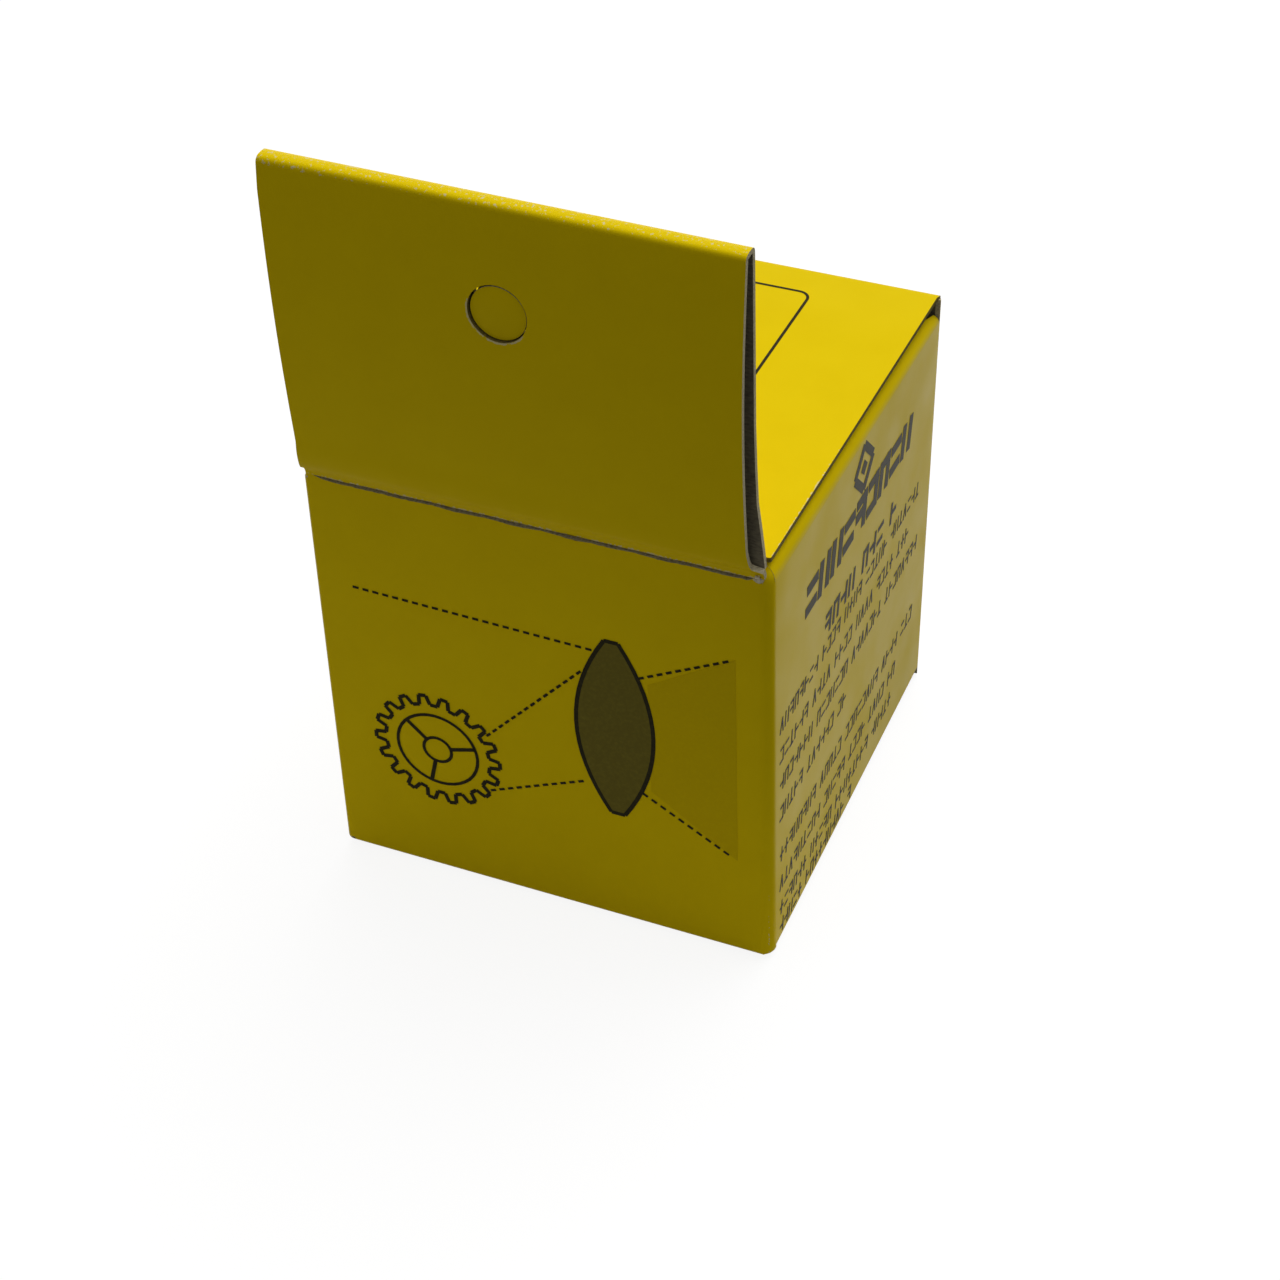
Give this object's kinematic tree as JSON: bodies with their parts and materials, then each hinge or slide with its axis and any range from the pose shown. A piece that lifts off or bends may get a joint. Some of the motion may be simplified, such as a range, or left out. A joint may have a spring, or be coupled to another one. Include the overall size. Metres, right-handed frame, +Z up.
{
  "type": "boxed eye loupe",
  "caption": "Folding carton with a doubled hang tab and tuck-in lid and base, holding an eye magnifier: flared eyecup with side window, lenses, spacer and screw ring.",
  "frame": {"origin": "centre of the carton's base, on the surface it stands on", "axes": "+Z up; the front panel with the hang tab faces -Y and the right side panel faces +X"},
  "size_m": [0.046, 0.048, 0.0796],
  "materials": {
    "yellow_board": "satin",
    "eyecup_black": "matte",
    "spacer_black": "matte",
    "ring_black": "satin",
    "lens_glass": "polished"
  },
  "bodies": {
    "carton": {"front_panel": "yellow_board", "right_panel": "yellow_board", "back_panel": "yellow_board", "left_panel": "yellow_board", "glue_flap": "yellow_board"},
    "lid": {"lid_panel": "yellow_board"},
    "lid_tuck": {"lid_tuck_flap": "yellow_board"},
    "top_dust_right": {"top_dust_flap_right": "yellow_board"},
    "top_dust_left": {"top_dust_flap_left": "yellow_board"},
    "base": {"bottom_panel": "yellow_board"},
    "base_tuck": {"bottom_tuck_flap": "yellow_board"},
    "bottom_dust_right": {"bottom_dust_flap_right": "yellow_board"},
    "bottom_dust_left": {"bottom_dust_flap_left": "yellow_board"},
    "hang_tab": {"tab_front_ply": "yellow_board", "tab_top_fold": "yellow_board", "tab_back_ply": "yellow_board"},
    "front_plug": {"tab_front_plug": "yellow_board"},
    "back_plug": {"tab_back_plug": "yellow_board"},
    "loupe": {"eyecup_shell": "eyecup_black"},
    "lens_pack": {"eye_lens": "lens_glass", "lens_spacer": "spacer_black", "field_lens": "lens_glass"},
    "ring": {"lens_ring": "ring_black"}
  },
  "joints": [
    {"name": "lid_open", "type": "hinge", "parent": "carton", "child": "lid", "pos_m": [0, 0.02275, 0.0478], "axis": [-1, 0, 0], "range_deg": [0, 170]},
    {"name": "lid_tuck_fold", "type": "hinge", "parent": "lid", "child": "lid_tuck", "pos_m": [0, -0.0219, 0.0478], "axis": [-1, 0, 0], "range_deg": [0, 60]},
    {"name": "top_dust_right_fold", "type": "hinge", "parent": "carton", "child": "top_dust_right", "pos_m": [0.02275, 0, 0.0472], "axis": [0, 1, 0], "range_deg": [0, 170]},
    {"name": "top_dust_left_fold", "type": "hinge", "parent": "carton", "child": "top_dust_left", "pos_m": [-0.02275, 0, 0.0472], "axis": [0, -1, 0], "range_deg": [0, 170]},
    {"name": "loupe_lift", "type": "slide", "parent": "carton", "child": "loupe", "axis": [0, 0, 1], "range_m": [0, 0.0595]},
    {"name": "bottom_open", "type": "hinge", "parent": "carton", "child": "base", "pos_m": [0, -0.02275, 0.00025], "axis": [-1, 0, 0], "range_deg": [0, 110]},
    {"name": "bottom_tuck_fold", "type": "hinge", "parent": "base", "child": "base_tuck", "pos_m": [0, 0.0219, 0.00025], "axis": [-1, 0, 0], "range_deg": [0, 40]},
    {"name": "bottom_dust_right_fold", "type": "hinge", "parent": "carton", "child": "bottom_dust_right", "pos_m": [0.02275, 0, 0.00085], "axis": [0, -1, 0], "range_deg": [0, 110]},
    {"name": "bottom_dust_left_fold", "type": "hinge", "parent": "carton", "child": "bottom_dust_left", "pos_m": [-0.02275, 0, 0.00085], "axis": [0, 1, 0], "range_deg": [0, 110]},
    {"name": "hang_tab_fold", "type": "hinge", "parent": "carton", "child": "hang_tab", "pos_m": [0, -0.02275, 0.04615], "axis": [1, 0, 0], "range_deg": [-5, 80]},
    {"name": "hang_hole_push", "type": "hinge", "parent": "hang_tab", "child": "front_plug", "pos_m": [-0.00095, -0.02459, 0.0714], "axis": [1, 0, 0], "range_deg": [0, 60]},
    {"name": "back_plug_push", "type": "hinge", "parent": "hang_tab", "child": "back_plug", "pos_m": [-0.00095, -0.02268, 0.07172], "axis": [1, 0, 0], "range_deg": [0, 60]},
    {"name": "lens_pack_travel", "type": "slide", "parent": "loupe", "child": "lens_pack", "axis": [0, 0, 1], "range_m": [0, 0.00301]},
    {"name": "lens_ring_turn", "type": "hinge", "parent": "lens_pack", "child": "ring", "pos_m": [0, 0, 0.035], "axis": [0, 0, 1], "range_deg": [0, 1440]}
  ],
  "couplings": [
    {"joint": "lid_tuck_fold", "follows": "lid_open", "ratio": 0.35},
    {"joint": "top_dust_right_fold", "follows": "lid_open", "ratio": 1},
    {"joint": "top_dust_left_fold", "follows": "lid_open", "ratio": 1},
    {"joint": "loupe_lift", "follows": "lid_open", "m_per_rad": 0.02},
    {"joint": "bottom_tuck_fold", "follows": "bottom_open", "ratio": 0.35},
    {"joint": "bottom_dust_right_fold", "follows": "bottom_open", "ratio": 1},
    {"joint": "bottom_dust_left_fold", "follows": "bottom_open", "ratio": 1},
    {"joint": "back_plug_push", "follows": "hang_hole_push", "ratio": 1},
    {"joint": "lens_pack_travel", "follows": "lens_ring_turn", "m_per_rad": 0.00011937}
  ]
}
